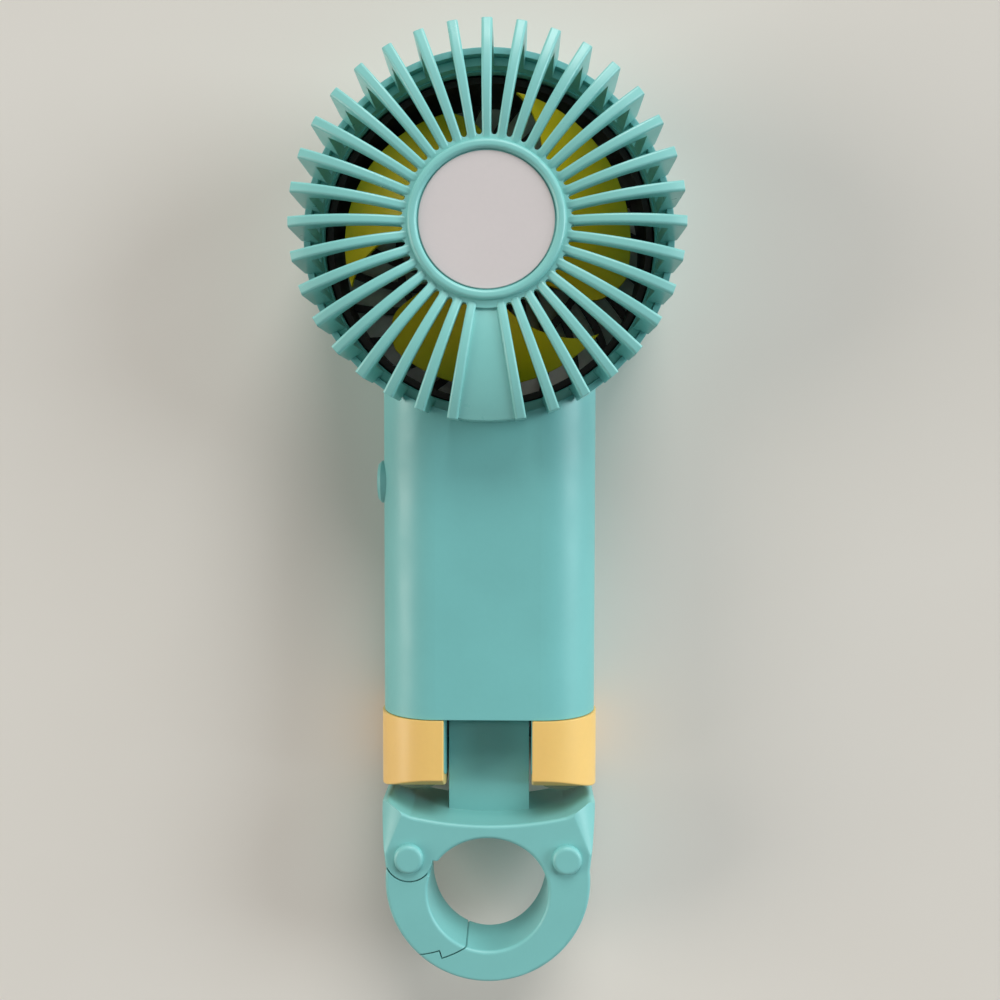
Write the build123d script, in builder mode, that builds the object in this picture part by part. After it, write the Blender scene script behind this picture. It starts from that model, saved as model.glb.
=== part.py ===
"""Handheld rechargeable fan with a folding ring foot, lying on its front.

Frame, in millimetres: +X to the right and +Y towards the head as the back is looked at,
+Z out of the back.  The front of the head and handle lies on Z = 0, and the origin is
below the middle of the whole object.
"""
import math
import os

from build123d import *

# ---- Driving dimensions -------------------------------------------------------------

# Head
head_centre_y = 59.0
head_radius = 38.5
rim_height = 22.0
rim_wall = 1.35
ledge_height = 18.0
ledge_thickness = 1.8
ledge_width = 2.15
front_lip_width = 1.15
front_lip = 2.0

# Back guard
guard_overhang = 0.3
fin_pitch_deg = 10.0
fin_tip_width = 2.15
fin_root_width = 1.75
fin_root_height = 36.3
fin_crown_rise = 1.7
fin_tip_drop = 0.8
fin_depth = 2.3
fin_edge_round = 0.5
fin_tip_round = 1.1
fins_over_handle = 2
shoulder_lift = 0.3
fin_root_inset = 1.2
leg_width = 3.4
leg_inner_corner = 1.6
hub_radius = 16.9
slot_end_radius = 0.55
hub_plate_thickness = 2.1
guard_ring_height = 2.4
guard_ring_wall = 1.7
bead_radius = 14.45
bead_width = 1.9
bead_rise = 1.1
bead_round = 0.76
label_radius = 13.2
label_thickness = 0.35
panel_recess = 0.9
panel_thickness = 1.6
panel_end_inset = 0.2
panel_end_rise = 0.6

# Motor
motor_radius = 12.2
motor_length = 11.2
motor_wall = 0.8
motor_cup_wall = 2.0
magnet_thickness = 1.8
air_gap = 0.4
shaft_radius = 1.0
shaft_reach = 15.0
shaft_chamfer = 0.2
bush_radius = 3.0
bush_proud = 1.4
bush_inside = 1.2
core_end_room = 2.6
core_slot_width = 1.6
magnet_overhang = 0.6
clamp_thickness = 0.8
clamp_screw_radius = 0.6
end_cap_thickness = 1.6
clamp_screw_length = 6.0
clamp_screw_head = 0.6

# Fan
fan_tip_gap = 2.8
fan_back_height = 20.4
fan_blade_drop = 12.0
fan_hub_radius = 9.5
fan_hub_wall = 1.6
fan_hub_round = 1.28
blade_thickness = 1.3
blade_count = 3
blade_span_deg = 110.0
blade_rim_deg = 92.0
# The blade's two edges, as share of the fan's radius and degrees clockwise from its tip
blade_leading = [(0.898, 8.6), (0.787, 15.6), (0.623, 25.5), (0.459, 36.0), (0.285, 52.0)]
blade_trailing = [(0.938, 99.0), (0.833, 105.5), (0.656, 108.0), (0.459, 112.0), (0.285, 124.0)]
blade_loft_start_deg = -4.0
blade_loft_stop_deg = 126.0
blade_loft_steps = 13
fan_first_tip_deg = 79.3

# Front grille
duct_gap = 0.3
duct_wall = 1.4
duct_end_gap = 0.2
grille_flange = 0.9
grille_bar_width = 1.6
grille_bar_height = 2.4
grille_bar_inset = 0.6
grille_bar_overlap = 0.5
grille_sweep_deg = 40.0
grille_middle_deg = 25.0
grille_bar_count = 24
grille_hub_radius = 9.0
grille_ring_radius = 21.0
badge_radius = 7.6
badge_thickness = 0.8
badge_bevel = 0.3

# Handle
handle_width = 46.0
handle_depth = 24.4
handle_side_round = 12.0
handle_bottom_y = -41.75
shell_wall = 1.8
shell_screw_x = 13.5
shell_screw_low_y = -35.0
shell_screw_high_y = 18.0
shell_screw_radius = 1.2
screw_head_radius = 2.3
screw_head_height = 1.6
screw_head_sink = 1.6
shell_screw_tip = 19.0
shell_screw_room = 0.3
post_wall = 1.5
post_cover = 0.6

# Electrics in the handle
board_side_gap = 4.0
board_length = 17.0
board_centre_y = 5.9
board_thickness = 1.6
board_height = 8.6
board_post_radius = 2.0
board_post_x = 10.0
board_post_inset = 2.2
board_screw_radius = 0.9
board_screw_length = 5.0
battery_side_gap = 6.0
battery_length = 26.0
battery_thickness = 9.0
battery_centre_y = -17.9
battery_round = 2.0
pad_thickness = 1.2
pad_width = 20.0
pad_length = 22.0
switch_size = 6.0
switch_height = 4.0
switch_depth = 3.6
switch_inset = 0.4
plunger_radius = 1.6
plunger_length = 1.0
socket_width = 8.9
socket_height = 3.2
socket_depth = 7.0
socket_wall = 0.35
socket_inset = 0.6
socket_back_wall = 1.0
socket_tongue_inset = 0.8
socket_end_flat = 0.05
socket_clearance = 0.3
socket_tongue_width = 6.7
socket_tongue_height = 0.7
lens_length = 8.0
lens_width = 2.2
lens_y = -1.5
lens_sink = 0.2
lens_flange = 0.8

# Power button
button_radius = 4.65
button_proud = 1.15
button_travel = 0.5
button_y = 7.85
button_gap = 0.2
button_flange = 0.8
button_flange_reach = 0.9
button_flange_height = 3.6
button_flange_gap = 0.35
button_bevel = 0.7
button_stem = 0.6

# Hinge frame, its caps and feet
arm_inner_x = 9.2
cap_proud = 0.4
cap_wall = 1.4
cap_length = 12.85
cap_floor = 2.35
cap_inner_step = 0.1
cap_bulge = 3.45
cap_gap = 0.15
cap_edge_round = 0.35
frame_plug = 3.0
frame_tab_thickness = 3.0
frame_tab_side = 3.2
foot_x = 15.8
foot_radius = 4.6
foot_height = 4.15
foot_round = 0.5
foot_stem_radius = 2.2
foot_stem_length = 2.4
hinge_drop = 3.8
hinge_pin_radius = 1.25
hinge_pin_end_inset = 2.5
washer_radius = 2.8
washer_thickness = 0.35

# Folding ring
tongue_half_width = 8.75
knuckle_radius = 3.0
tongue_root_thickness = 9.0
tongue_thin_y = -58.2
tongue_thick_y = -61.2
tongue_root_y = -66.2
ring_top_y = -64.2
ring_shoulder_x = 16.4
ring_shoulder_y = -62.35
ear_x = 21.7
ear_y = -59.9
ear_side_y = -61.2
ear_round = 1.3
ring_shoulder_deg = 6.0
ring_back_height = 24.1
ring_end_radius = 21.65
ring_end_centre_y = -76.15
ring_round_start_y = -52.0
ring_round_end_y = -73.0
ring_round_end = 1.5
ring_under_start_y = -58.2
ring_under_top = 2.0
ring_under_end = 13.8
ring_edge_round = 0.7
hole_radius = 12.75
hole_centre_y = -78.4
hole_top_y = -67.05
knob_x = 16.65
knob_y = -71.2
knob_radius = 3.1
knob_height = 1.4
knob_round = 0.9

# Gate in the ring
gate_gap = 0.3
gate_cheek_radius = 5.0
gate_start_deg = 205.0
gate_stop_deg = 316.0
gate_reach = 22.8
gate_lip_reach = 21.1
gate_step_deg = 287.5
gate_lug_radius = 4.0
gate_lug_height = 4.6
gate_lug_low = 15.2
gate_lug_start_deg = 222.0
gate_lug_stop_deg = 300.0
gate_open_deg = 32.0
gate_pin_radius = 1.5
gate_pin_low = 11.6
spring_outer_radius = 3.0
spring_height = 2.2
gate_relief = 1.3
gate_margin_deg = 6.0
lug_overlap = 1.0
knob_stem_low = 19.0

# Clearances
running_clearance = 0.05
slip_clearance = 0.1

# How near two coordinates lie that count as the same
same_place = 0.01

# ---- Worked out from the above ------------------------------------------------------

mid_z = handle_depth / 2
head_centre = (0, head_centre_y)
rim_inner_radius = head_radius - rim_wall
ledge_inner_radius = rim_inner_radius - ledge_width
front_opening_radius = rim_inner_radius - front_lip_width
duct_outer_radius = ledge_inner_radius - duct_gap
guard_radius = head_radius + guard_overhang
fin_crown_height = fin_root_height + fin_crown_rise
fin_tip_height = fin_root_height - fin_tip_drop
board_width = handle_width - 2 * board_side_gap
battery_width = handle_width - 2 * battery_side_gap
hub_top = fin_root_height
hub_under = hub_top - hub_plate_thickness
motor_top = hub_under
motor_front = motor_top - motor_length
cup_outer_radius = motor_radius + motor_cup_wall
hinge_y = handle_bottom_y - hinge_drop
arm_bottom_y = handle_bottom_y - cap_gap - cap_length + cap_floor
cap_top_y = handle_bottom_y - cap_gap
cap_bottom_y = cap_top_y - cap_length
foot_bottom_y = cap_bottom_y - foot_height
gate_pivot = (-knob_x, knob_y)
ring_end_y = ring_end_centre_y - ring_end_radius
fan_front_height = fan_back_height - fan_blade_drop
post_radius = shell_screw_radius + post_wall
board_top = board_height + board_thickness
switch_face_x = -board_width / 2 + switch_inset
lug_high = gate_lug_low + gate_lug_height
duct_inner_radius = duct_outer_radius - duct_wall
fan_radius = duct_inner_radius - fan_tip_gap
blade_root_radius = fan_radius * blade_leading[-1][0]
bulge_radius = (mid_z**2 + cap_bulge**2) / (2 * cap_bulge)
cap_end_y = cap_bottom_y - cap_bulge
arm_end_y = arm_bottom_y - cap_bulge
guard_ring_radius = rim_inner_radius - slip_clearance

os.makedirs("parts", exist_ok=True)


# ---- Helpers ------------------------------------------------------------------------

def polar_point(centre, radius, degrees):
    """A point at a radius and an angle, anticlockwise from +X, about a centre."""
    angle = math.radians(degrees)
    return (centre[0] + radius * math.cos(angle), centre[1] + radius * math.sin(angle))


def across_plane(y):
    """The plane across the handle at y: its own x is X and its own y is Z."""
    return Plane.XZ.offset(-y)


def side_plane(x):
    """The plane at x that looks along +X: its own x is Y and its own y is Z."""
    return Plane.YZ.offset(x)


def handle_section(y, inset=0.0):
    """The handle's rounded section at y, shrunk by inset."""
    with BuildSketch(across_plane(y)) as section:
        with Locations((0, mid_z)):
            RectangleRounded(
                handle_width - 2 * inset,
                handle_depth - 2 * inset,
                handle_side_round - inset,
            )
    return section.sketch


def sector(centre, radius, start_deg, stop_deg, mode=Mode.ADD):
    """Draw a pie slice about a centre, inside a sketch."""
    middle_deg = (start_deg + stop_deg) / 2
    with BuildLine() as outline:
        Line(centre, polar_point(centre, radius, start_deg))
        ThreePointArc(
            polar_point(centre, radius, start_deg),
            polar_point(centre, radius, middle_deg),
            polar_point(centre, radius, stop_deg),
        )
        Line(polar_point(centre, radius, stop_deg), centre)
    make_face(outline.edges(), mode=mode)


def tube_on_z(centre, outer, inner, low, high):
    """Add a tube, or a rod where inner is 0, standing along Z."""
    with BuildSketch(Plane.XY.offset(low)) as ring:
        with Locations(centre):
            Circle(outer)
            if inner > 0:
                Circle(inner, mode=Mode.SUBTRACT)
    extrude(ring.sketch, amount=high - low)


def cut_on_z(centre, radius, low, high):
    """Cut a round hole along Z."""
    with BuildSketch(Plane.XY.offset(low)) as hole:
        with Locations(centre):
            Circle(radius)
    extrude(hole.sketch, amount=high - low, mode=Mode.SUBTRACT)


def box_between(low, high, mode=Mode.ADD):
    """Add or cut a box from its lowest to its highest corner."""
    size = [high[axis] - low[axis] for axis in range(3)]
    middle = [(high[axis] + low[axis]) / 2 for axis in range(3)]
    with Locations(tuple(middle)):
        Box(size[0], size[1], size[2], mode=mode)


def posts_between(spots, radius, low, high):
    """Add posts along Z, trimmed to the handle's outside."""
    with BuildPart(mode=Mode.PRIVATE) as posts:
        for spot in spots:
            tube_on_z(spot, radius, 0, low, high)
        inside = handle_section(head_centre_y, post_cover)
        extrude(inside, amount=head_centre_y - handle_bottom_y, mode=Mode.INTERSECT)
    add(posts.part)


def finish(part, label):
    """Name a piece and write it."""
    part.label = label
    export_step(part, f"parts/{label}.step")


clamp_screw_spots = [
    polar_point(head_centre, motor_radius + motor_cup_wall / 2, 90 + turn * 120) for turn in range(3)
]
low_screw_spots = [(side * shell_screw_x, shell_screw_low_y) for side in (-1, 1)]
high_screw_spots = [(side * shell_screw_x, shell_screw_high_y) for side in (-1, 1)]
shell_screw_spots = low_screw_spots + high_screw_spots
board_post_spots = [
    (side * board_post_x, board_centre_y + end * (board_length / 2 - board_post_inset))
    for side in (-1, 1)
    for end in (-1, 1)
]


# ---- Handle and head shells ---------------------------------------------------------

def housing_body():
    """The outside of the handle and head ring, and the spaces inside them."""
    extrude(handle_section(head_centre_y), amount=head_centre_y - handle_bottom_y)
    tube_on_z(head_centre, head_radius, 0, 0, rim_height)
    space_top_y = head_centre_y - head_radius - shell_wall
    extrude(
        handle_section(space_top_y, shell_wall),
        amount=space_top_y - handle_bottom_y,
        mode=Mode.SUBTRACT,
    )
    ledge_bottom = ledge_height - ledge_thickness
    cut_on_z(head_centre, rim_inner_radius, ledge_height, handle_depth)
    cut_on_z(head_centre, ledge_inner_radius, ledge_bottom, ledge_height)
    cut_on_z(head_centre, rim_inner_radius, front_lip, ledge_bottom)
    cut_on_z(head_centre, front_opening_radius, 0, front_lip)


def side_openings():
    """The button's hole on the left and the charging socket's mouth on the right."""
    with BuildSketch(side_plane(-handle_width)) as button_hole:
        with Locations((button_y, mid_z)):
            Circle(button_radius + button_gap)
    extrude(button_hole.sketch, amount=handle_width - board_width / 2, mode=Mode.SUBTRACT)
    with BuildSketch(side_plane(board_width / 2)) as socket_mouth:
        with Locations((button_y, board_top + socket_height / 2)):
            RectangleRounded(
                socket_width + 2 * socket_clearance,
                socket_height + 2 * socket_clearance,
                socket_height / 2,
            )
    extrude(socket_mouth.sketch, amount=handle_width / 2, mode=Mode.SUBTRACT)


frame_tab_low = mid_z - frame_tab_thickness / 2
frame_tab_high = mid_z + frame_tab_thickness / 2

with BuildPart() as front_shell:
    housing_body()
    side_openings()
    split(bisect_by=Plane.XY.offset(mid_z), keep=Keep.BOTTOM)
    posts_between(low_screw_spots, post_radius, 0, frame_tab_low)
    posts_between(high_screw_spots, post_radius, 0, mid_z)
    posts_between(board_post_spots, board_post_radius, 0, board_height)
    for spot in board_post_spots:
        cut_on_z(spot, board_screw_radius, board_top - board_screw_length, board_height)
    for spot in shell_screw_spots:
        cut_on_z(spot, shell_screw_radius + slip_clearance, 0, mid_z)
        cut_on_z(spot, screw_head_radius + slip_clearance, 0, screw_head_sink + screw_head_height)
    with BuildSketch(Plane.XY):
        with Locations((0, lens_y)):
            SlotOverall(lens_length, lens_width)
    extrude(amount=shell_wall, mode=Mode.SUBTRACT)
finish(front_shell.part, "front_shell")

with BuildPart() as back_shell:
    housing_body()
    side_openings()
    split(bisect_by=Plane.XY.offset(mid_z), keep=Keep.TOP)
    posts_between(low_screw_spots, post_radius, frame_tab_high, handle_depth)
    posts_between(high_screw_spots, post_radius, mid_z, handle_depth)
    for spot in shell_screw_spots:
        cut_on_z(spot, shell_screw_radius, mid_z, shell_screw_tip + shell_screw_room)
finish(back_shell.part, "back_shell")


# ---- Fasteners of the shells --------------------------------------------------------

with BuildPart() as shell_screws:
    for spot in shell_screw_spots:
        tube_on_z(spot, shell_screw_radius, 0, screw_head_sink, shell_screw_tip)
        tube_on_z(spot, screw_head_radius, 0, screw_head_sink, screw_head_sink + screw_head_height)
finish(shell_screws.part, "shell_screws")


# ---- Back guard ---------------------------------------------------------------------

def make_fin(outer_foot):
    """One fin along +X with its leg down to outer_foot at the rim, its back edges rounded."""
    leg_inner = guard_radius - leg_width
    middle = (hub_radius + guard_radius) / 2
    root = hub_radius - fin_root_inset
    with BuildPart() as fin:
        with BuildSketch(Plane.XZ.offset(-fin_tip_width / 2)) as profile:
            with BuildLine() as outline:
                ThreePointArc(
                    (root, fin_root_height),
                    (middle, fin_crown_height),
                    (guard_radius, fin_tip_height),
                )
                Polyline(
                    (guard_radius, fin_tip_height),
                    (guard_radius, outer_foot),
                    (guard_ring_radius, outer_foot),
                    (guard_ring_radius, ledge_height),
                    (leg_inner, ledge_height),
                    (leg_inner, fin_tip_height - fin_depth),
                )
                ThreePointArc(
                    (leg_inner, fin_tip_height - fin_depth),
                    (middle, fin_crown_height - fin_depth),
                    (root, fin_root_height - fin_depth),
                )
                Line((root, fin_root_height - fin_depth), (root, fin_root_height))
            make_face()
            tip_corner = profile.vertices().sort_by(Axis.X).group_by(Axis.X)[-1].sort_by(Axis.Z)[-1]
            fillet(tip_corner, fin_tip_round)
            under_corner = [
                vertex for vertex in profile.vertices()
                if abs(vertex.X - leg_inner) < same_place and vertex.Z > rim_height
            ]
            fillet(under_corner, leg_inner_corner)
        extrude(amount=fin_tip_width)
        with BuildSketch(Plane.XY):
            with BuildLine():
                Polyline(
                    (root, -fin_root_width / 2),
                    (guard_radius, -fin_tip_width / 2),
                    (guard_radius, fin_tip_width / 2),
                    (root, fin_root_width / 2),
                    close=True,
                )
            make_face()
        extrude(amount=2 * fin_crown_height, mode=Mode.INTERSECT)
        long_edges = fin.edges().filter_by(lambda edge: edge.length > guard_radius / 3)
        back_edges = [edge for edge in long_edges if edge.center().Z > fin_tip_height + fin_edge_round]
        fillet(back_edges, fin_edge_round)
    return fin.part


rim_fin = make_fin(rim_height)
shoulder_fin = make_fin(rim_height + shoulder_lift)
handle_fin = make_fin(handle_depth)

# The cover over the leads, between the two fins beside the handle's centre line
cover_root = hub_radius - fin_root_inset
cover_under = panel_recess + panel_thickness
cover_far_y = head_centre_y - guard_radius
cover_crown_y = head_centre_y - (hub_radius + guard_radius) / 2
cover_root_y = head_centre_y - cover_root
cover_leg_y = cover_far_y + leg_width

with BuildPart() as lead_cover:
    with BuildSketch(Plane.XY.offset(handle_depth)):
        sector(head_centre, guard_radius - panel_end_inset, 270 - fin_pitch_deg, 270 + fin_pitch_deg)
        with Locations(head_centre):
            Circle(cover_root, mode=Mode.SUBTRACT)
    extrude(amount=fin_crown_height - handle_depth)
    with BuildSketch(side_plane(-handle_width / 2)):
        with BuildLine():
            ThreePointArc(
                (cover_root_y, fin_root_height - panel_recess),
                (cover_crown_y, fin_crown_height - panel_recess),
                (cover_far_y, fin_tip_height - panel_recess),
            )
            Polyline(
                (cover_far_y, fin_tip_height - panel_recess),
                (cover_far_y, fin_crown_height),
                (head_centre_y, fin_crown_height),
                (head_centre_y, fin_root_height - panel_recess),
                (cover_root_y, fin_root_height - panel_recess),
            )
        make_face()
    extrude(amount=handle_width, mode=Mode.SUBTRACT)
    with BuildSketch(side_plane(-handle_width / 2)):
        with BuildLine():
            ThreePointArc(
                (cover_root_y, fin_root_height - cover_under),
                (cover_crown_y, fin_crown_height - cover_under),
                (cover_leg_y, fin_tip_height - cover_under + panel_end_rise),
            )
            Polyline(
                (cover_leg_y, fin_tip_height - cover_under + panel_end_rise),
                (cover_leg_y, 0),
                (head_centre_y, 0),
                (head_centre_y, fin_root_height - cover_under),
                (cover_root_y, fin_root_height - cover_under),
            )
        make_face()
    extrude(amount=handle_width, mode=Mode.SUBTRACT)

with BuildPart() as back_guard:
    tube_on_z(head_centre, hub_radius, 0, hub_under, hub_top)
    tube_on_z(
        head_centre,
        guard_ring_radius,
        guard_ring_radius - guard_ring_wall,
        ledge_height,
        ledge_height + guard_ring_height,
    )
    tube_on_z(head_centre, cup_outer_radius, motor_radius, motor_front, hub_under)
    tube_on_z(
        head_centre,
        bead_radius + bead_width / 2,
        bead_radius - bead_width / 2,
        hub_top,
        hub_top + bead_rise,
    )
    bead_edges = back_guard.edges().filter_by(GeomType.CIRCLE).group_by(Axis.Z)[-1]
    fillet(bead_edges, bead_round)
    add(lead_cover.part)
    # The fins, all round but for the middle of the cover
    fin_count = round(360 / fin_pitch_deg)
    fins = []
    for index in range(1, fin_count):
        from_handle = min(index, fin_count - index)
        source = rim_fin
        if from_handle == fins_over_handle + 1:
            source = shoulder_fin
        if from_handle <= fins_over_handle:
            source = handle_fin
        fins.append(Location((0, head_centre_y, 0), (0, 0, 270 + index * fin_pitch_deg)) * source)
    add(fins)
    # Each slot between two fins ends in a half-round in the hub's edge
    slot_ends = [
        polar_point(head_centre, hub_radius, 270 + (index + 0.5) * fin_pitch_deg)
        for index in range(1, fin_count - 1)
    ]
    with BuildSketch(Plane.XY.offset(hub_under)) as ends:
        with Locations(*slot_ends):
            Circle(slot_end_radius)
    extrude(ends.sketch, amount=hub_plate_thickness, mode=Mode.SUBTRACT)
    cut_on_z(head_centre, motor_radius, motor_front, hub_under)
    for spot in clamp_screw_spots:
        cut_on_z(spot, clamp_screw_radius, motor_front, motor_front - clamp_thickness + clamp_screw_length)
finish(back_guard.part, "back_guard")

with BuildPart() as label_plate:
    tube_on_z(head_centre, label_radius, 0, hub_top, hub_top + label_thickness)
finish(label_plate.part, "label_plate")


# ---- Motor --------------------------------------------------------------------------

end_cap_low = motor_top - end_cap_thickness
magnet_outer = motor_radius - motor_wall
magnet_inner = magnet_outer - magnet_thickness
core_low = motor_front + core_end_room
core_high = end_cap_low - core_end_room / 2
front_bush_low = motor_front - bush_proud

with BuildPart() as motor_can:
    tube_on_z(head_centre, motor_radius, 0, motor_front, motor_top)
    cut_on_z(head_centre, magnet_outer, motor_front + motor_wall, motor_top)
    cut_on_z(head_centre, bush_radius, motor_front, motor_front + motor_wall)
finish(motor_can.part, "motor_can")

with BuildPart() as motor_end_cap:
    tube_on_z(head_centre, magnet_outer, bush_radius, end_cap_low, motor_top)
finish(motor_end_cap.part, "motor_end_cap")

with BuildPart() as motor_bushes:
    bush_bore = shaft_radius + running_clearance
    tube_on_z(head_centre, bush_radius, bush_bore, front_bush_low, motor_front + bush_inside)
    tube_on_z(head_centre, bush_radius, bush_bore, end_cap_low, motor_top)
finish(motor_bushes.part, "motor_bushes")

with BuildPart() as motor_magnets:
    with BuildSketch(Plane.XY.offset(core_low - magnet_overhang)):
        with Locations(head_centre):
            Circle(magnet_outer)
            Circle(magnet_inner, mode=Mode.SUBTRACT)
            Rectangle(2 * motor_radius, magnet_inner, mode=Mode.SUBTRACT)
    extrude(amount=core_high - core_low + 2 * magnet_overhang)
finish(motor_magnets.part, "motor_magnets")

with BuildPart() as armature:
    with BuildSketch(Plane.XY.offset(core_low)):
        with Locations(head_centre):
            Circle(magnet_inner - air_gap)
            with PolarLocations(magnet_inner - air_gap, 3):
                SlotOverall(magnet_inner, core_slot_width, mode=Mode.SUBTRACT)
            Circle(shaft_radius, mode=Mode.SUBTRACT)
    extrude(amount=core_high - core_low)
    tube_on_z(head_centre, bush_radius, shaft_radius, core_high, end_cap_low - air_gap)
finish(armature.part, "armature")

with BuildPart() as motor_shaft:
    tube_on_z(head_centre, shaft_radius, 0, motor_front - shaft_reach, motor_top - air_gap)
    chamfer(motor_shaft.edges().group_by(Axis.Z)[0], shaft_chamfer)
finish(motor_shaft.part, "motor_shaft")

clamp_low = motor_front - clamp_thickness

with BuildPart() as motor_clamp:
    tube_on_z(head_centre, cup_outer_radius, bush_radius + slip_clearance, clamp_low, motor_front)
    for spot in clamp_screw_spots:
        cut_on_z(spot, clamp_screw_radius, clamp_low, motor_front)
finish(motor_clamp.part, "motor_clamp")

with BuildPart() as clamp_screws:
    for spot in clamp_screw_spots:
        tube_on_z(spot, clamp_screw_radius, 0, clamp_low, clamp_low + clamp_screw_length)
        tube_on_z(spot, 2 * clamp_screw_radius, 0, clamp_low - clamp_screw_head, clamp_low)
finish(clamp_screws.part, "clamp_screws")


# ---- Fan ----------------------------------------------------------------------------

def blade_points(shares_and_degrees):
    """Points of a blade's edge, about the axis, the blade's tip lying along +X."""
    return [polar_point((0, 0), fan_radius * share, -turn) for share, turn in shares_and_degrees]


def make_blade():
    """One sickle blade about the Z axis: a slab on a screw surface, trimmed to its outline."""
    rim_stop = polar_point((0, 0), fan_radius, -blade_rim_deg)
    with BuildPart() as blade:
        for step in range(blade_loft_steps + 1):
            share = step / blade_loft_steps
            turn = blade_loft_start_deg + (blade_loft_stop_deg - blade_loft_start_deg) * share
            height = min(fan_back_height, fan_back_height - fan_blade_drop * turn / blade_span_deg)
            along = polar_point((0, 0), 1, -turn)
            across = polar_point((0, 0), 1, -turn - 90)
            radial_plane = Plane((0, 0, 0), x_dir=(*along, 0), z_dir=(*across, 0))
            with BuildSketch(radial_plane):
                with Locations(((blade_root_radius + fan_radius) / 2, height - blade_thickness / 2)):
                    Rectangle(fan_radius - blade_root_radius + blade_thickness, blade_thickness)
        loft(ruled=True)
        with BuildSketch(Plane.XY):
            with BuildLine():
                Spline((fan_radius, 0), *blade_points(blade_leading))
                ThreePointArc(
                    (fan_radius, 0), polar_point((0, 0), fan_radius, -blade_rim_deg / 2), rim_stop
                )
                Spline(rim_stop, *blade_points(blade_trailing))
                RadiusArc(
                    blade_points(blade_trailing)[-1],
                    blade_points(blade_leading)[-1],
                    -blade_root_radius,
                )
            make_face()
        extrude(amount=2 * fan_back_height, mode=Mode.INTERSECT)
    return blade.part


fan_blade = make_blade()

with BuildPart() as fan_rotor:
    tube_on_z(head_centre, fan_hub_radius, fan_hub_radius - fan_hub_wall, fan_front_height, fan_back_height)
    tube_on_z(head_centre, fan_hub_radius, 0, fan_front_height - fan_hub_wall, fan_front_height)
    fillet(fan_rotor.edges().filter_by(GeomType.CIRCLE).group_by(Axis.Z)[0], fan_hub_round)
    tube_on_z(head_centre, bush_radius, 0, fan_front_height, fan_back_height)
    for copy in range(blade_count):
        tip_deg = fan_first_tip_deg - copy * 360 / blade_count
        with Locations(Location((0, head_centre_y, 0), (0, 0, tip_deg))):
            add(fan_blade)
    cut_on_z(head_centre, shaft_radius, motor_front - shaft_reach, fan_back_height)
finish(fan_rotor.part, "fan_rotor")


# ---- Front grille -------------------------------------------------------------------

with BuildPart() as front_grille:
    duct_top = ledge_height - ledge_thickness - duct_end_gap
    tube_on_z(head_centre, duct_outer_radius, duct_inner_radius, 0, duct_top)
    tube_on_z(head_centre, front_opening_radius - slip_clearance, duct_inner_radius, 0, front_lip)
    tube_on_z(
        head_centre,
        rim_inner_radius - slip_clearance,
        duct_inner_radius,
        front_lip,
        front_lip + grille_flange,
    )
    tube_on_z(head_centre, grille_hub_radius, 0, badge_thickness, grille_bar_height)
    tube_on_z(head_centre, grille_hub_radius, badge_radius + slip_clearance, 0, grille_bar_height)
    tube_on_z(
        head_centre,
        grille_ring_radius + grille_bar_width / 2,
        grille_ring_radius - grille_bar_width / 2,
        grille_bar_inset,
        grille_bar_height,
    )
    with BuildSketch(Plane.XY, mode=Mode.PRIVATE) as bar:
        with BuildLine() as bar_line:
            ThreePointArc(
                (grille_hub_radius - grille_bar_overlap, 0),
                polar_point((0, 0), grille_ring_radius, -grille_middle_deg),
                polar_point((0, 0), duct_inner_radius + grille_bar_overlap, -grille_sweep_deg),
            )
        trace(bar_line.edges(), line_width=grille_bar_width)
    with BuildSketch(Plane.XY.offset(grille_bar_inset)):
        with Locations(head_centre):
            with PolarLocations(0, grille_bar_count):
                add(bar.sketch)
    extrude(amount=grille_bar_height - grille_bar_inset)
finish(front_grille.part, "front_grille")

with BuildPart() as front_badge:
    tube_on_z(head_centre, badge_radius, 0, 0, badge_thickness)
    chamfer(front_badge.edges().group_by(Axis.Z)[0], badge_bevel)
finish(front_badge.part, "front_badge")


# ---- Electrics in the handle --------------------------------------------------------

with BuildPart() as battery_pad:
    box_between(
        (-pad_width / 2, battery_centre_y - pad_length / 2, shell_wall),
        (pad_width / 2, battery_centre_y + pad_length / 2, shell_wall + pad_thickness),
    )
finish(battery_pad.part, "battery_pad")

battery_low = shell_wall + pad_thickness

with BuildPart() as battery_cell:
    box_between(
        (-battery_width / 2, battery_centre_y - battery_length / 2, battery_low),
        (battery_width / 2, battery_centre_y + battery_length / 2, battery_low + battery_thickness),
    )
    fillet(battery_cell.edges().filter_by(Axis.Y), battery_round)
finish(battery_cell.part, "battery_cell")

with BuildPart() as circuit_board:
    box_between(
        (-board_width / 2, board_centre_y - board_length / 2, board_height),
        (board_width / 2, board_centre_y + board_length / 2, board_top),
    )
    for spot in board_post_spots:
        cut_on_z(spot, board_screw_radius + slip_clearance, board_height, board_top)
finish(circuit_board.part, "circuit_board")

with BuildPart() as board_screws:
    for spot in board_post_spots:
        tube_on_z(spot, board_screw_radius, 0, board_top - board_screw_length, board_top)
        tube_on_z(spot, 2 * board_screw_radius, 0, board_top, board_top + board_screw_radius)
finish(board_screws.part, "board_screws")

switch_low = (switch_face_x, button_y - switch_size / 2, board_top)
switch_high = (switch_face_x + switch_depth, button_y + switch_size / 2, board_top + switch_height)

with BuildPart() as button_switch:
    box_between(switch_low, switch_high)
    with BuildSketch(side_plane(switch_face_x)) as plunger_hole:
        with Locations((button_y, mid_z)):
            Circle(plunger_radius + slip_clearance)
    extrude(plunger_hole.sketch, amount=plunger_length + button_travel, mode=Mode.SUBTRACT)
finish(button_switch.part, "button_switch")

flange_high_x = -(handle_width / 2 - shell_wall) + button_flange_gap + button_flange
plunger_face_x = flange_high_x + button_stem

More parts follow.
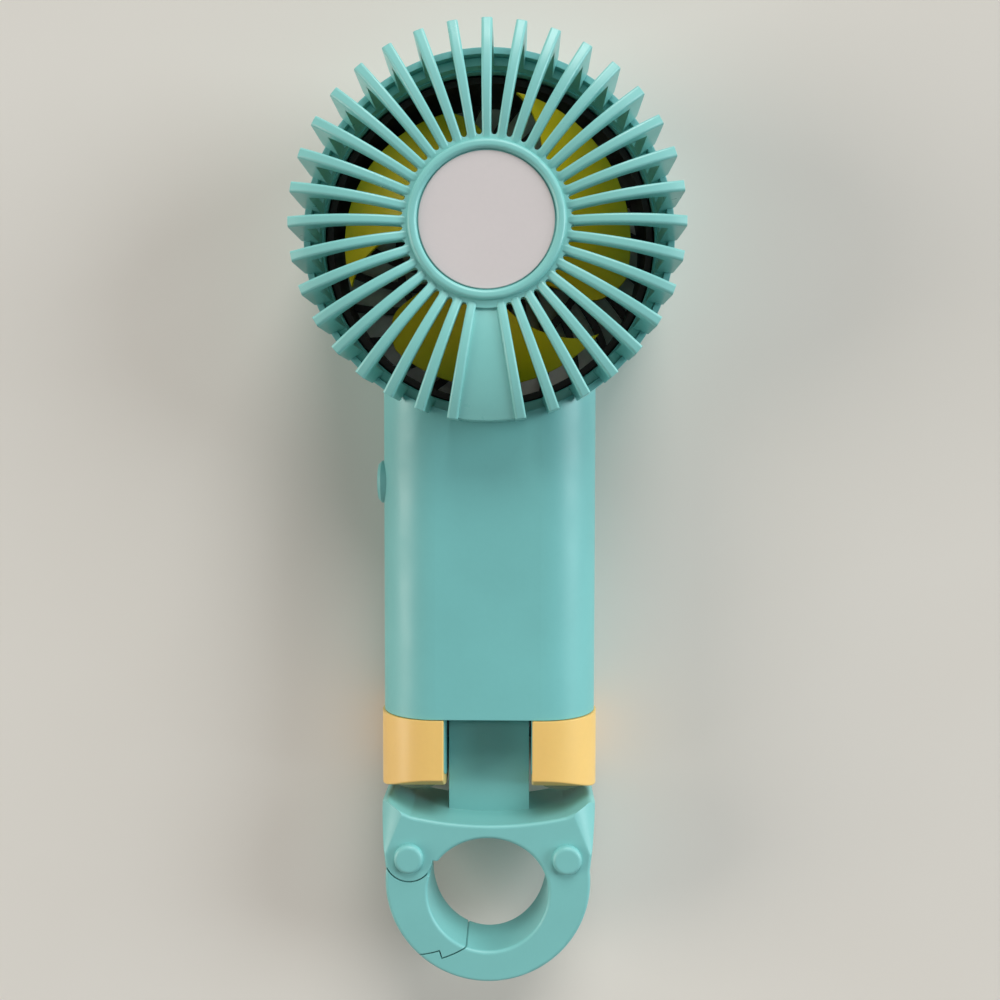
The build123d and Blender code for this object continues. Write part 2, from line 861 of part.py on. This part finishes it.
with BuildPart() as switch_plunger:
    with BuildSketch(side_plane(plunger_face_x)):
        with Locations((button_y, mid_z)):
            Circle(plunger_radius)
    extrude(amount=switch_face_x + plunger_length - plunger_face_x)
finish(switch_plunger.part, "switch_plunger")

with BuildPart() as power_button:
    button_face_x = -(handle_width / 2 + button_proud)
    with BuildSketch(side_plane(button_face_x)):
        with Locations((button_y, mid_z)):
            Circle(button_radius)
    extrude(amount=flange_high_x - button_face_x)
    chamfer(power_button.edges().group_by(Axis.X)[0], button_bevel)
    with BuildSketch(side_plane(flange_high_x - button_flange)):
        with Locations((button_y, mid_z)):
            Rectangle(2 * (button_radius + button_flange_reach), button_flange_height)
    extrude(amount=button_flange)
    with BuildSketch(side_plane(flange_high_x)):
        with Locations((button_y, mid_z)):
            Circle(plunger_radius)
    extrude(amount=button_stem)
finish(power_button.part, "power_button")

socket_mouth_x = handle_width / 2 - shell_wall - socket_inset
socket_centre = (button_y, board_top + socket_height / 2)

with BuildPart() as charging_socket:
    with BuildSketch(side_plane(socket_mouth_x - socket_depth)):
        with Locations(socket_centre):
            RectangleRounded(socket_width, socket_height, socket_height / 2 - socket_end_flat)
    extrude(amount=socket_depth)
    with BuildSketch(side_plane(socket_mouth_x - socket_depth + socket_back_wall)):
        with Locations(socket_centre):
            RectangleRounded(
                socket_width - 2 * socket_wall,
                socket_height - 2 * socket_wall,
                socket_height / 2 - socket_wall - socket_end_flat,
            )
    extrude(amount=socket_depth, mode=Mode.SUBTRACT)
    with BuildSketch(side_plane(socket_mouth_x - socket_depth)):
        with Locations(socket_centre):
            RectangleRounded(socket_tongue_width, socket_tongue_height, socket_tongue_height / 3)
    extrude(amount=socket_depth - socket_tongue_inset)
finish(charging_socket.part, "charging_socket")

with BuildPart() as indicator_lens:
    with BuildSketch(Plane.XY.offset(lens_sink)):
        with Locations((0, lens_y)):
            SlotOverall(lens_length, lens_width)
    extrude(amount=shell_wall - lens_sink)
    with BuildSketch(Plane.XY.offset(shell_wall)):
        with Locations((0, lens_y)):
            SlotOverall(lens_length + 2 * lens_flange, lens_width + 2 * lens_flange)
    extrude(amount=lens_flange)
finish(indicator_lens.part, "indicator_lens")


# ---- Hinge frame, pin, washers, caps and feet ---------------------------------------

def half_space_box(side, inner_x, y_high, y_low):
    """Keep what lies beyond inner_x on one side, from y_low to y_high."""
    low_x, high_x = sorted((side * inner_x, side * handle_width))
    box_between((low_x, y_low, -handle_depth), (high_x, y_high, 2 * handle_depth), mode=Mode.INTERSECT)


def rod_on_x(radius, low_x, high_x, y, z, mode=Mode.ADD):
    """Add or cut a rod along X."""
    with BuildSketch(side_plane(low_x)) as disc:
        with Locations((y, z)):
            Circle(radius)
    extrude(disc.sketch, amount=high_x - low_x, mode=mode)


def rod_on_y(radius, x, z, high_y, low_y, mode=Mode.ADD):
    """Add or cut a rod along Y, from its upper end down."""
    with BuildSketch(across_plane(high_y)) as disc:
        with Locations((x, z)):
            Circle(radius)
    extrude(disc.sketch, amount=high_y - low_y, mode=mode)


def end_cylinder(y_flat, mode):
    """Keep or cut what lies inside the large cylinder that rounds an end past y_flat."""
    rod_on_x(
        bulge_radius, -handle_width, handle_width, y_flat - cap_bulge + bulge_radius, mid_z, mode
    )


def arm_core(y_high):
    """Both arms as one block with its rounded end, from y_high down."""
    with BuildPart() as core:
        extrude(handle_section(y_high, cap_wall - cap_proud), amount=y_high - arm_end_y)
        end_cylinder(arm_bottom_y, Mode.INTERSECT)
    return core.part


def make_arm(side):
    """One arm of the clevis, inside its cap."""
    with BuildPart() as arm:
        add(arm_core(handle_bottom_y))
        half_space_box(side, arm_inner_x, handle_bottom_y, arm_end_y)
    return arm.part


pin_half_length = handle_width / 2 - hinge_pin_end_inset

with BuildPart() as hinge_frame:
    extrude(
        handle_section(handle_bottom_y + frame_plug, shell_wall + slip_clearance),
        amount=frame_plug,
    )
    box_between(
        (-shell_screw_x - frame_tab_side, handle_bottom_y, frame_tab_low),
        (shell_screw_x + frame_tab_side, shell_screw_low_y + frame_tab_side, frame_tab_high),
    )
    for side in (-1, 1):
        add(make_arm(side))
    for spot in low_screw_spots:
        cut_on_z(spot, shell_screw_radius + slip_clearance, 0, handle_depth)
    rod_on_x(hinge_pin_radius, -pin_half_length, pin_half_length, hinge_y, mid_z, Mode.SUBTRACT)
    for side in (-1, 1):
        rod_on_y(
            foot_stem_radius,
            side * foot_x,
            mid_z,
            arm_bottom_y + foot_stem_length,
            arm_end_y,
            Mode.SUBTRACT,
        )
finish(hinge_frame.part, "hinge_frame")

with BuildPart() as hinge_pin:
    rod_on_x(hinge_pin_radius, -pin_half_length, pin_half_length, hinge_y, mid_z)
finish(hinge_pin.part, "hinge_pin")

with BuildPart() as hinge_washers:
    for side in (-1, 1):
        low_x = min(side * arm_inner_x, side * (arm_inner_x - washer_thickness))
        rod_on_x(washer_radius, low_x, low_x + washer_thickness, hinge_y, mid_z)
    rod_on_x(hinge_pin_radius, -arm_inner_x, arm_inner_x, hinge_y, mid_z, Mode.SUBTRACT)
finish(hinge_washers.part, "hinge_washers")


def make_cap(side):
    """A yellow cap: back, front, outer side and rounded floor over one arm."""
    with BuildPart() as cap:
        with BuildSketch(across_plane(cap_top_y)):
            with Locations((0, mid_z + cap_proud / 2)):
                RectangleRounded(handle_width + 2 * cap_proud, handle_depth + cap_proud, handle_side_round)
        extrude(amount=cap_top_y - cap_end_y)
        end_cylinder(cap_bottom_y, Mode.INTERSECT)
        half_space_box(side, arm_inner_x + cap_inner_step, cap_top_y, cap_end_y)
        outside = cap.edges().filter_by(
            lambda edge: abs(abs(edge.center().X) - arm_inner_x - cap_inner_step) < cap_inner_step / 2
            or edge.center().Y < cap_bottom_y + cap_edge_round
        )
        fillet(outside, cap_edge_round)
        add(arm_core(cap_top_y), mode=Mode.SUBTRACT)
        rod_on_y(foot_stem_radius, side * foot_x, mid_z, arm_bottom_y, cap_end_y, Mode.SUBTRACT)
    return cap.part


def make_foot(side):
    """A round foot on the cap's rounded end, whose stem locks the cap to the arm."""
    with BuildPart() as foot:
        rod_on_y(foot_radius, side * foot_x, mid_z, cap_bottom_y, foot_bottom_y)
        fillet(foot.edges().group_by(Axis.Y)[0], foot_round)
        end_cylinder(cap_bottom_y, Mode.SUBTRACT)
        stem_low_y = (cap_end_y + foot_bottom_y) / 2
        rod_on_y(foot_stem_radius, side * foot_x, mid_z, arm_bottom_y + foot_stem_length, stem_low_y)
    return foot.part


for side, side_name in ((-1, "left"), (1, "right")):
    finish(make_cap(side), f"{side_name}_arm_cap")
    finish(make_foot(side), f"{side_name}_foot")


# ---- Folding ring -------------------------------------------------------------------

def ring_outline():
    """The ring's outline as the back is looked at, a dished top over a round end."""
    side_x = handle_width / 2
    end_x = ring_end_radius * math.cos(math.radians(ring_shoulder_deg))
    end_y = ring_end_centre_y + ring_end_radius * math.sin(math.radians(ring_shoulder_deg))
    with BuildSketch(Plane.XY) as sketch:
        with BuildLine():
            Polyline(
                (end_x, end_y), (side_x, ear_side_y), (ear_x, ear_y), (ring_shoulder_x, ring_shoulder_y)
            )
            ThreePointArc(
                (ring_shoulder_x, ring_shoulder_y), (0, ring_top_y), (-ring_shoulder_x, ring_shoulder_y)
            )
            Polyline(
                (-ring_shoulder_x, ring_shoulder_y), (-ear_x, ear_y), (-side_x, ear_side_y), (-end_x, end_y)
            )
            ThreePointArc((-end_x, end_y), (0, ring_end_y), (end_x, end_y))
        make_face()
        ears = [vertex for vertex in sketch.vertices() if abs(vertex.Y - ear_y) < same_place]
        fillet(ears, ear_round)
    return sketch.sketch


def ring_solid():
    """The ring before its tongue and gate are cut: outline, rounded sides and sloped front."""
    extrude(ring_outline(), amount=ring_back_height)
    with BuildPart(mode=Mode.PRIVATE) as envelope:
        # Twice as deep as the handle, so that only the back edges are rounded
        for y, side_round in ((ring_round_start_y, handle_side_round), (ring_round_end_y, ring_round_end)):
            with BuildSketch(across_plane(y)):
                RectangleRounded(handle_width, 2 * handle_depth, side_round)
        loft(ruled=True)
        with BuildSketch(across_plane(ring_round_end_y)):
            RectangleRounded(handle_width, 2 * handle_depth, ring_round_end)
        extrude(amount=handle_width)
    add(envelope.part, mode=Mode.INTERSECT)
    with BuildSketch(side_plane(-handle_width)) as front_cut:
        with BuildLine() as outline:
            Polyline(
                (ear_y, 0),
                (ear_y, ring_under_top),
                (ring_under_start_y, ring_under_top),
                (ring_end_y, ring_under_end),
                (ring_end_y, 0),
                close=True,
            )
        make_face(outline.edges())
    extrude(front_cut.sketch, amount=2 * handle_width, mode=Mode.SUBTRACT)
    with BuildSketch(Plane.XY) as hole:
        # A half circle below the hole's middle and a flatter half ellipse above it
        with Locations((0, hole_centre_y)):
            Circle(hole_radius)
            above = (Align.CENTER, Align.MIN)
            Rectangle(2 * hole_radius, hole_radius, align=above, mode=Mode.SUBTRACT)
            Ellipse(hole_radius, hole_top_y - hole_centre_y)
    extrude(hole.sketch, amount=ring_back_height, mode=Mode.SUBTRACT)


def gate_region(gap):
    """The gate's area as the back is looked at, narrowed all round by gap."""
    start = gate_start_deg + math.degrees(gap / gate_cheek_radius)
    step = gate_step_deg + math.degrees(gap / gate_reach)
    with BuildSketch(Plane.XY) as region:
        sector(gate_pivot, gate_lip_reach - gap, start, gate_stop_deg)
        sector(gate_pivot, gate_reach - gap, step, gate_stop_deg)
        with Locations(gate_pivot):
            Circle(gate_cheek_radius + gap, mode=Mode.SUBTRACT)
    return region.sketch


with BuildPart() as ring_body:
    ring_solid()
    rims = ring_body.edges().group_by(Axis.Z)[-1]
    fillet(rims, ring_edge_round)
    # The tongue that reaches up between the arms, round about the hinge
    tongue_front = mid_z + knuckle_radius - tongue_root_thickness
    with BuildSketch(side_plane(-tongue_half_width)):
        with Locations((hinge_y, mid_z)):
            Circle(knuckle_radius)
        with BuildLine():
            Polyline(
                (hinge_y, mid_z + knuckle_radius),
                (hinge_y, mid_z - knuckle_radius),
                (tongue_thin_y, mid_z - knuckle_radius),
                (tongue_thick_y, tongue_front),
                (tongue_root_y, tongue_front),
                (tongue_root_y, mid_z + knuckle_radius),
                close=True,
            )
        make_face()
    extrude(amount=2 * tongue_half_width)
    rod_on_x(
        hinge_pin_radius + running_clearance,
        -tongue_half_width,
        tongue_half_width,
        hinge_y,
        mid_z,
        Mode.SUBTRACT,
    )
    # The gate's place: its area right through, and a slot for its lug between two cheeks
    extrude(gate_region(0.0), amount=handle_depth, mode=Mode.SUBTRACT)
    with BuildSketch(Plane.XY.offset(gate_lug_low - gate_gap)) as slot:
        with Locations(gate_pivot):
            Circle(gate_lug_radius + gate_gap)
        sector(
            gate_pivot,
            gate_cheek_radius + gate_gap,
            gate_lug_start_deg - gate_margin_deg,
            gate_lug_stop_deg + gate_open_deg + gate_margin_deg,
        )
    extrude(slot.sketch, amount=gate_lug_height + 2 * gate_gap, mode=Mode.SUBTRACT)
    # Room for the gate's shoulder as it swings in
    with BuildSketch(Plane.XY) as relief:
        sector(
            gate_pivot,
            gate_cheek_radius + gate_relief,
            gate_stop_deg - gate_margin_deg,
            gate_stop_deg + gate_open_deg + gate_margin_deg,
        )
        with Locations(gate_pivot):
            Circle(gate_cheek_radius, mode=Mode.SUBTRACT)
    extrude(relief.sketch, amount=handle_depth, mode=Mode.SUBTRACT)
    cut_on_z(gate_pivot, gate_pin_radius, gate_pin_low, handle_depth)
    cut_on_z((knob_x, knob_y), gate_pin_radius, knob_stem_low, handle_depth)
finish(ring_body.part, "ring_body")

with BuildPart() as ring_gate:
    ring_solid()
    fillet(ring_gate.edges().group_by(Axis.Z)[-1], ring_edge_round)
    extrude(gate_region(gate_gap), amount=handle_depth, mode=Mode.INTERSECT)
    with BuildSketch(Plane.XY.offset(gate_lug_low)) as lug:
        with Locations(gate_pivot):
            Circle(gate_lug_radius)
        sector(gate_pivot, gate_cheek_radius + lug_overlap, gate_lug_start_deg, gate_lug_stop_deg)
    extrude(lug.sketch, amount=gate_lug_height)
    cut_on_z(gate_pivot, gate_pin_radius + running_clearance, gate_lug_low, lug_high)
    spring_room_low = lug_high - spring_height - slip_clearance
    cut_on_z(gate_pivot, spring_outer_radius + slip_clearance, spring_room_low, lug_high)
finish(ring_gate.part, "ring_gate")

with BuildPart() as gate_spring:
    tube_on_z(
        gate_pivot,
        spring_outer_radius,
        gate_pin_radius + slip_clearance,
        lug_high - spring_height,
        lug_high + gate_gap,
    )
finish(gate_spring.part, "gate_spring")


def make_knob(centre, stem_low):
    """A round knob on the ring's back with its stem in the ring."""
    with BuildPart() as knob:
        tube_on_z(centre, knob_radius, 0, ring_back_height, ring_back_height + knob_height)
        fillet(knob.edges().group_by(Axis.Z)[-1], knob_round)
        tube_on_z(centre, gate_pin_radius, 0, stem_low, ring_back_height)
    return knob.part


finish(make_knob(gate_pivot, gate_pin_low), "gate_pin")
finish(make_knob((knob_x, knob_y), knob_stem_low), "ring_knob")
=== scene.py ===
"""Look of the handheld fan: moulded plastic and metal materials for its parts and small fittings, floor,
light, camera.
"""

import math

import bmesh
import bpy
from mathutils import Matrix, Vector


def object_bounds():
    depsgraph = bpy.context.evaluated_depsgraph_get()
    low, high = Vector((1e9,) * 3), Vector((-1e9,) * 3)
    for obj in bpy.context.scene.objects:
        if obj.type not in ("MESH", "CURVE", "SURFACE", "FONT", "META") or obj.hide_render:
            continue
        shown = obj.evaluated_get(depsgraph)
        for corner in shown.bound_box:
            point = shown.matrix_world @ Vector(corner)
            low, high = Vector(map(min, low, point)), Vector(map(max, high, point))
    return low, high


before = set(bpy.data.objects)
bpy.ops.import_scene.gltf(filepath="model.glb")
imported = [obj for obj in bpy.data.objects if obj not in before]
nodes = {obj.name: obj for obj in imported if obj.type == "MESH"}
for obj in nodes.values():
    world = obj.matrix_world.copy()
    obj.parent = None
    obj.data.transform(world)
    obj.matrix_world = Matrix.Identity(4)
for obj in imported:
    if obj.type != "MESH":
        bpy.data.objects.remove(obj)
cad_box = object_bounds()
scene = bpy.context.scene
MM = 0.001

# Noise scales, per metre: slow tone changes, fine specks, clouds in the gloss, drag lines
tone_scale = 38
speck_scale = 900
cloud_scale = 120
drag_scale = 700

# Floor and backdrop
floor_radius = 4.0
floor_sides = 96
floor_drop = 0.00005
world_strength = 0.15
backdrop_strength = 1.0
lamp_angle_deg = 34

# The photograph's camera: its turns in radians about X, Y and Z, place in mm and lens in mm
camera_turns = (0.042, 0.0171, 0.0015)
camera_place = (6.03, 13.16, 233.17)
camera_lens = 36.34
camera_sensor = 36.0


def srgb(red, green, blue):
    """A colour written as 0-255 screen values, made linear."""
    def linear(value):
        share = value / 255
        if share <= 0.04045:
            return share / 12.92
        return ((share + 0.055) / 1.055) ** 2.4

    return (linear(red), linear(green), linear(blue), 1.0)


# ---- Materials ------------------------------------------------------------------------

def material(name):
    """A new node material, its Principled shader and its node tree."""
    made = bpy.data.materials.new(name)
    made.use_nodes = True
    tree = made.node_tree
    return made, tree, tree.nodes["Principled BSDF"]


def noise(tree, scale, detail=3.0, roughness=0.5, stretch=None):
    """A noise texture in the piece's own space; scale is per metre."""
    place = tree.nodes.new("ShaderNodeTexCoord")
    made = tree.nodes.new("ShaderNodeTexNoise")
    made.inputs["Scale"].default_value = scale
    made.inputs["Detail"].default_value = detail
    made.inputs["Roughness"].default_value = roughness
    if stretch is None:
        tree.links.new(place.outputs["Object"], made.inputs["Vector"])
    else:
        mapping = tree.nodes.new("ShaderNodeMapping")
        mapping.inputs["Scale"].default_value = stretch
        tree.links.new(place.outputs["Object"], mapping.inputs["Vector"])
        tree.links.new(mapping.outputs["Vector"], made.inputs["Vector"])
    return made


def ranged(tree, source, low, high, from_low=0.3, from_high=0.7):
    """Map a noise onto a range of values."""
    made = tree.nodes.new("ShaderNodeMapRange")
    made.inputs["From Min"].default_value = from_low
    made.inputs["From Max"].default_value = from_high
    made.inputs["To Min"].default_value = low
    made.inputs["To Max"].default_value = high
    tree.links.new(source, made.inputs["Value"])
    return made.outputs["Result"]


def two_tone(tree, factor, first, second):
    """A colour between two, by a factor."""
    mix = tree.nodes.new("ShaderNodeMix")
    mix.data_type = "RGBA"
    mix.inputs["A"].default_value = first
    mix.inputs["B"].default_value = second
    tree.links.new(factor, mix.inputs["Factor"])
    return mix.outputs["Result"]


def shade(colour, factor):
    """A colour made darker or lighter by a factor."""
    return (colour[0] * factor, colour[1] * factor, colour[2] * factor, 1.0)


def moulded(
    name, colour, rough=0.4, grain=2600, grain_depth=0.000012, edge=0.00022, mottle=0.05, glow=0.0, shine=0.5
):
    """Moulded plastic: slow tone changes, fine spark grain, uneven gloss and softened edges."""
    made, tree, shader = material(name)
    slow = noise(tree, tone_scale, 4.0, 0.55)
    tone = ranged(tree, slow.outputs["Fac"], 0.0, 1.0)
    colours = two_tone(tree, tone, shade(colour, 1.0 - mottle), shade(colour, 1.0 + mottle))
    fine = noise(tree, speck_scale, 2.0, 0.6)
    fine_tone = ranged(tree, fine.outputs["Fac"], 0.0, 0.35)
    speck = tree.nodes.new("ShaderNodeMix")
    speck.data_type = "RGBA"
    speck.blend_type = "MULTIPLY"
    speck.inputs["B"].default_value = (0.955, 0.965, 0.965, 1.0)
    tree.links.new(fine_tone, speck.inputs["Factor"])
    tree.links.new(colours, speck.inputs["A"])
    tree.links.new(speck.outputs["Result"], shader.inputs["Base Color"])
    cloud = noise(tree, cloud_scale, 5.0, 0.6)
    tree.links.new(
        ranged(tree, cloud.outputs["Fac"], rough - 0.07, rough + 0.07), shader.inputs["Roughness"]
    )
    bevel = tree.nodes.new("ShaderNodeBevel")
    bevel.samples = 6
    bevel.inputs["Radius"].default_value = edge
    bump = tree.nodes.new("ShaderNodeBump")
    bump.inputs["Strength"].default_value = 0.6
    bump.inputs["Distance"].default_value = grain_depth
    spark = noise(tree, grain, 2.0, 0.5)
    tree.links.new(spark.outputs["Fac"], bump.inputs["Height"])
    tree.links.new(bevel.outputs["Normal"], bump.inputs["Normal"])
    tree.links.new(bump.outputs["Normal"], shader.inputs["Normal"])
    shader.inputs["Specular IOR Level"].default_value = shine
    if glow > 0:
        shader.inputs["Subsurface Weight"].default_value = glow
        shader.inputs["Subsurface Radius"].default_value = (0.0015, 0.0012, 0.0006)
    return made


def metal(name, colour, rough=0.3, stretch=(1, 1, 30), metallic=1.0):
    """Turned or brushed metal with fine drag lines."""
    made, tree, shader = material(name)
    drag = noise(tree, drag_scale, 3.0, 0.6, stretch)
    tone = ranged(tree, drag.outputs["Fac"], 0.0, 1.0)
    colours = two_tone(tree, tone, shade(colour, 0.86), shade(colour, 1.06))
    tree.links.new(colours, shader.inputs["Base Color"])
    tree.links.new(
        ranged(tree, drag.outputs["Fac"], rough - 0.08, rough + 0.1), shader.inputs["Roughness"]
    )
    bump = tree.nodes.new("ShaderNodeBump")
    bump.inputs["Strength"].default_value = 0.4
    bump.inputs["Distance"].default_value = 0.00001
    tree.links.new(drag.outputs["Fac"], bump.inputs["Height"])
    bevel = tree.nodes.new("ShaderNodeBevel")
    bevel.samples = 4
    bevel.inputs["Radius"].default_value = 0.00012
    tree.links.new(bevel.outputs["Normal"], bump.inputs["Normal"])
    tree.links.new(bump.outputs["Normal"], shader.inputs["Normal"])
    shader.inputs["Metallic"].default_value = metallic
    return made


# The shell's teal is a darker copy of the guard's teal: painted shade, standing in for the shade that falls
# on the handle.
teal_shell = moulded("teal_shell_plastic", srgb(116, 187, 186), rough=0.42)
teal_guard = moulded("teal_guard_plastic", srgb(130, 200, 196), rough=0.34, mottle=0.035)
teal_ring = moulded("teal_ring_plastic", srgb(121, 188, 186), rough=0.42)
teal_button = moulded("teal_button_plastic", srgb(116, 188, 187), rough=0.34)
yellow = moulded("yellow_cap_plastic", srgb(240, 198, 116), rough=0.38, mottle=0.03, glow=0.08)
blade = moulded("blade_plastic", srgb(205, 180, 6), rough=0.36, mottle=0.05, glow=0.12, shine=0.25)
black = moulded("black_plastic", srgb(26, 22, 20), rough=0.45, mottle=0.12, shine=0.22)
lens = moulded("clear_lens_plastic", srgb(214, 220, 220), rough=0.2, mottle=0.02, glow=0.2)
rubber = moulded("grey_rubber", srgb(96, 112, 94), rough=0.62, grain=1800, grain_depth=0.00003)
foam = moulded("foam", srgb(44, 44, 46), rough=0.85, grain=1500, grain_depth=0.00008, mottle=0.15)
resin = moulded("board_resin", srgb(30, 92, 60), rough=0.35, mottle=0.08)
film = moulded("label_film", srgb(213, 205, 205), rough=0.5, grain=3800, grain_depth=0.000006, mottle=0.02)
ferrite = moulded("ferrite", srgb(62, 62, 66), rough=0.55, mottle=0.12)
foil = metal("cell_foil", srgb(196, 198, 202), rough=0.38, stretch=(1, 12, 1))
steel = metal("screw_steel", srgb(186, 186, 188), rough=0.28)
can_steel = metal("motor_steel", srgb(178, 180, 184), rough=0.32, stretch=(1, 1, 20))
brass = metal("bush_brass", srgb(200, 168, 96), rough=0.32)
silver = metal("silver_disc", srgb(190, 194, 198), rough=0.34, stretch=(18, 1, 1), metallic=0.7)

looks = {
    "back_shell": teal_shell,
    "front_shell": teal_shell,
    "back_guard": teal_guard,
    "label_plate": film,
    "front_grille": black,
    "front_badge": silver,
    "motor_can": can_steel,
    "motor_end_cap": black,
    "motor_bushes": brass,
    "motor_magnets": ferrite,
    "motor_clamp": can_steel,
    "clamp_screws": steel,
    "battery_pad": foam,
    "battery_cell": foil,
    "circuit_board": resin,
    "board_screws": steel,
    "button_switch": black,
    "charging_socket": steel,
    "indicator_lens": lens,
    "shell_screws": steel,
    "hinge_frame": teal_shell,
    "hinge_pin": steel,
    "hinge_washers": foam,
    "left_arm_cap": yellow,
    "right_arm_cap": yellow,
    "left_foot": rubber,
    "right_foot": rubber,
    "fan_rotor": blade,
    "motor_shaft": steel,
    "armature": ferrite,
    "power_button": teal_button,
    "switch_plunger": black,
    "ring_body": teal_ring,
    "gate_pin": teal_ring,
    "ring_knob": teal_ring,
    "gate_spring": steel,
    "ring_gate": teal_ring,
}
for name, node in nodes.items():
    node.data.materials.clear()
    node.data.materials.append(looks[name])


# ---- Floor, light and camera ------------------------------------------------------------

def make_floor():
    """A wide pale round floor under the object."""
    mesh = bpy.data.meshes.new("floor")
    shape = bmesh.new()
    bmesh.ops.create_circle(shape, cap_ends=True, radius=floor_radius, segments=floor_sides)
    shape.to_mesh(mesh)
    shape.free()
    floor = bpy.data.objects.new("floor", mesh)
    floor.location = (0, 0, cad_box[0][2] - floor_drop)
    scene.collection.objects.link(floor)
    made, tree, shader = material("pale_floor")
    grain = noise(tree, 8, 3.0, 0.5)
    tone = ranged(tree, grain.outputs["Fac"], 0.0, 1.0)
    tree.links.new(
        two_tone(tree, tone, srgb(222, 216, 208), srgb(226, 221, 214)), shader.inputs["Base Color"]
    )
    shader.inputs["Roughness"].default_value = 0.75
    shader.inputs["Specular IOR Level"].default_value = 0.2
    mesh.materials.append(made)


def make_world():
    """Even light from all round; camera, mirror and glass rays see a pale backdrop instead."""
    world = bpy.data.worlds.new("studio")
    scene.world = world
    world.use_nodes = True
    tree = world.node_tree
    tree.nodes.clear()
    output = tree.nodes.new("ShaderNodeOutputWorld")
    light = tree.nodes.new("ShaderNodeBackground")
    light.inputs["Color"].default_value = (0.97, 0.985, 1.0, 1.0)
    light.inputs["Strength"].default_value = world_strength
    backdrop = tree.nodes.new("ShaderNodeBackground")
    backdrop.inputs["Color"].default_value = srgb(232, 228, 222)
    backdrop.inputs["Strength"].default_value = backdrop_strength
    path = tree.nodes.new("ShaderNodeLightPath")
    either = tree.nodes.new("ShaderNodeMath")
    either.operation = "MAXIMUM"
    seen = tree.nodes.new("ShaderNodeMath")
    seen.operation = "MAXIMUM"
    mix = tree.nodes.new("ShaderNodeMixShader")
    tree.links.new(path.outputs["Is Camera Ray"], either.inputs[0])
    tree.links.new(path.outputs["Is Glossy Ray"], either.inputs[1])
    tree.links.new(either.outputs[0], seen.inputs[0])
    tree.links.new(path.outputs["Is Transmission Ray"], seen.inputs[1])
    tree.links.new(seen.outputs[0], mix.inputs["Fac"])
    tree.links.new(light.outputs[0], mix.inputs[1])
    tree.links.new(backdrop.outputs[0], mix.inputs[2])
    tree.links.new(mix.outputs[0], output.inputs["Surface"])


def soft_lamp(name, place, strength, colour):
    """A far soft lamp that shines from a place towards the object, even over the whole floor."""
    lamp = bpy.data.lights.new(name, "SUN")
    lamp.energy = strength
    lamp.angle = math.radians(lamp_angle_deg)
    lamp.color = colour
    holder = bpy.data.objects.new(name, lamp)
    holder.location = place
    holder.rotation_euler = (-Vector(place)).to_track_quat("-Z", "Y").to_euler()
    scene.collection.objects.link(holder)


def make_camera():
    """The photograph's camera: close above the object and tipped a little."""
    turn = (
        Matrix.Rotation(camera_turns[0], 3, "X")
        @ Matrix.Rotation(camera_turns[1], 3, "Y")
        @ Matrix.Rotation(camera_turns[2], 3, "Z")
        @ Matrix.Diagonal((1, -1, -1))
    )
    right = turn[0]
    down = turn[1]
    ahead = turn[2]
    camera = bpy.data.objects.new("camera", bpy.data.cameras.new("camera"))
    pose = Matrix((right, -down, -ahead)).transposed().to_4x4()
    pose.translation = Vector(camera_place) * MM
    camera.matrix_world = pose
    camera.data.sensor_width = camera_sensor
    camera.data.lens = camera_lens
    camera.data.clip_start = 0.005
    camera.data.clip_end = 50.0
    scene.collection.objects.link(camera)
    scene.camera = camera


make_floor()
make_world()
soft_lamp("top_lamp", (0.12, 0.6, 0.34), 2.05, (1.0, 0.99, 0.97))
soft_lamp("right_lamp", (0.55, 0.12, 0.22), 2.15, (0.87, 0.97, 1.0))
soft_lamp("left_lamp", (-0.55, 0.0, 0.2), 1.65, (1.0, 0.95, 0.87))
make_camera()
scene.view_settings.view_transform = "Standard"
